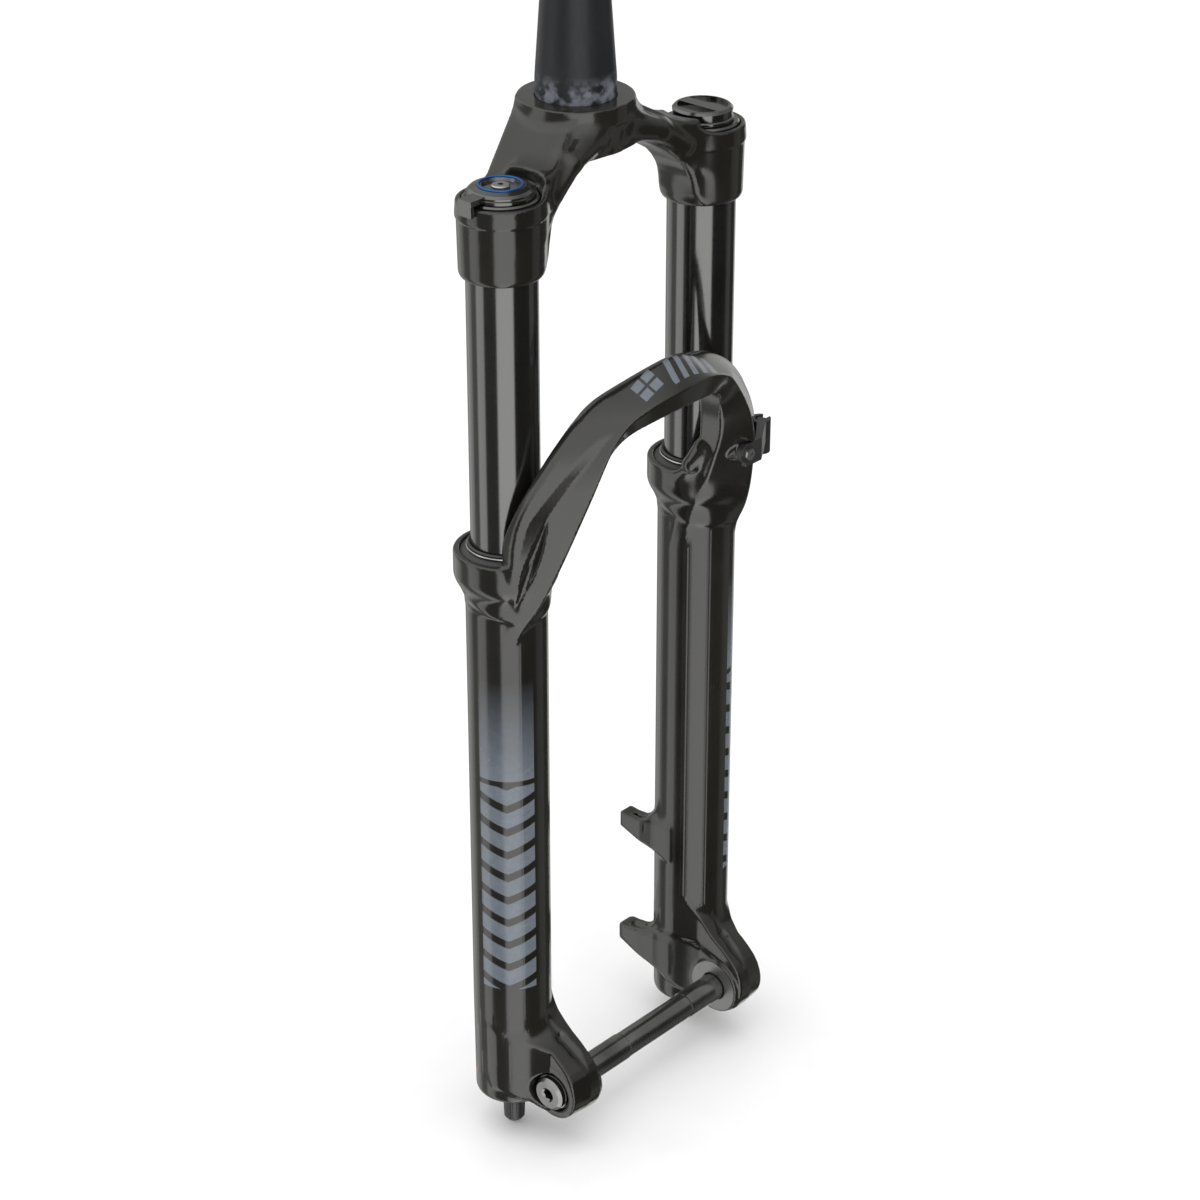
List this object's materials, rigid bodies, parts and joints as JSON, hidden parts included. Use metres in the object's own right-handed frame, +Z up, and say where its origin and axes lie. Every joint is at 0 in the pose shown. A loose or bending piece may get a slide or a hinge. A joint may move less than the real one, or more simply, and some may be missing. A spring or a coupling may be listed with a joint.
{
  "type": "suspension fork",
  "caption": "Air-sprung mountain bike suspension fork: tapered steerer, forged crown, sliding upper tubes in a one-piece lower with arch, disc brake posts and bolt-through axle.",
  "frame": {"origin": "centre of the crown race seat, on the steerer's axis", "axes": "+Z up the steerer, +X forward, +Y to the rider's left"},
  "size_m": [0.1064, 0.2001, 0.755],
  "materials": {
    "black_gloss": "gloss black paint over cast magnesium and forged aluminium",
    "black_anodised": "gloss black anodised",
    "steerer_black": "matt black anodised, worn at its foot",
    "bare_aluminium": "machined",
    "steel": "ground and polished",
    "black_plastic": "satin moulded",
    "blue_anodised": "blue anodised",
    "rubber_black": "satin",
    "foam_grey": "oiled open-cell foam",
    "bushing_bronze": "coated bronze",
    "axle_black": "polished dark anodised",
    "copper_washer": "soft copper"
  },
  "bodies": {
    "upper": {"steerer_tube": "steerer_black", "crown": "black_gloss", "upper_tube_right": "black_anodised", "upper_tube_left": "black_anodised", "damper_top_cap": "black_anodised", "damper_cap_seal": "rubber_black", "compression_tube": "bare_aluminium", "compression_piston": "bare_aluminium", "air_top_cap": "black_anodised", "air_cap_seal": "rubber_black", "valve_core": "steel", "upper_volume_token": "black_plastic", "lower_volume_token": "black_plastic", "damper_seal_head": "bare_aluminium", "air_seal_head": "bare_aluminium", "damper_snap_ring": "steel", "air_snap_ring": "steel"},
    "lowers": {"lower_casting": "black_gloss", "damper_shaft": "steel", "air_shaft": "steel", "rebound_piston": "bare_aluminium", "piston_glide_ring": "black_plastic", "air_piston": "black_plastic", "air_piston_seal": "rubber_black", "top_out_bumper": "rubber_black", "hose_guide_clip": "black_plastic", "hose_guide_screw": "steel", "bottom_out_bumper_right": "rubber_black", "upper_bushing_right": "bushing_bronze", "lower_bushing_right": "bushing_bronze", "foam_ring_right": "foam_grey", "wiper_seal_right": "rubber_black", "garter_spring_right": "steel", "foot_bolt_right": "steel", "crush_washer_right": "copper_washer", "bottom_out_bumper_left": "rubber_black", "upper_bushing_left": "bushing_bronze", "lower_bushing_left": "bushing_bronze", "foam_ring_left": "foam_grey", "wiper_seal_left": "rubber_black", "garter_spring_left": "steel", "foot_bolt_left": "steel", "crush_washer_left": "copper_washer"},
    "compression_adjuster": {"compression_knob": "black_anodised", "compression_ring": "blue_anodised", "compression_rod": "steel"},
    "rebound_adjuster": {"rebound_knob": "black_plastic", "rebound_rod": "steel"},
    "cap_seal": {"valve_cap_seal": "rubber_black"},
    "cap": {"valve_cap": "black_anodised"},
    "pin": {"valve_pin": "steel"},
    "axle_washer": {"axle_washer": "steel"},
    "axle": {"axle": "axle_black"}
  },
  "joints": [
    {"name": "travel", "type": "slide", "parent": "upper", "child": "lowers", "axis": [0, 0, 1], "range_m": [0, 0.12], "stiffness_N_per_m": 5000, "springref_m": -0.02},
    {"name": "compression_turn", "type": "hinge", "parent": "upper", "child": "compression_adjuster", "pos_m": [0.0187, -0.073, -0.026], "axis": [0, 0, 1], "range_deg": [0, 90]},
    {"name": "rebound_turn", "type": "hinge", "parent": "lowers", "child": "rebound_adjuster", "pos_m": [0.0187, -0.073, -0.545], "axis": [0, 0, 1], "range_deg": [-360, 360]},
    {"name": "cap_rise", "type": "slide", "parent": "upper", "child": "cap_seal", "axis": [0, 0, 1], "range_m": [0, 0.003]},
    {"name": "cap_turn", "type": "hinge", "parent": "cap_seal", "child": "cap", "pos_m": [0.0187, 0.073, -0.023], "axis": [0, 0, 1], "range_deg": [0, 1080]},
    {"name": "valve_press", "type": "slide", "parent": "upper", "child": "pin", "axis": [0, 0, -1], "range_m": [0, 0.0015], "stiffness_N_per_m": 300, "springref_m": -0.001},
    {"name": "axle_slide", "type": "slide", "parent": "lowers", "child": "axle_washer", "axis": [0, -1, 0], "range_m": [0, 0.16]},
    {"name": "axle_turn", "type": "hinge", "parent": "axle_washer", "child": "axle", "pos_m": [0.051, -0.08, -0.521], "axis": [0, 1, 0], "continuous": true}
  ],
  "couplings": [
    {"joint": "cap_turn", "follows": "cap_rise", "rad_per_m": 6282.6}
  ]
}
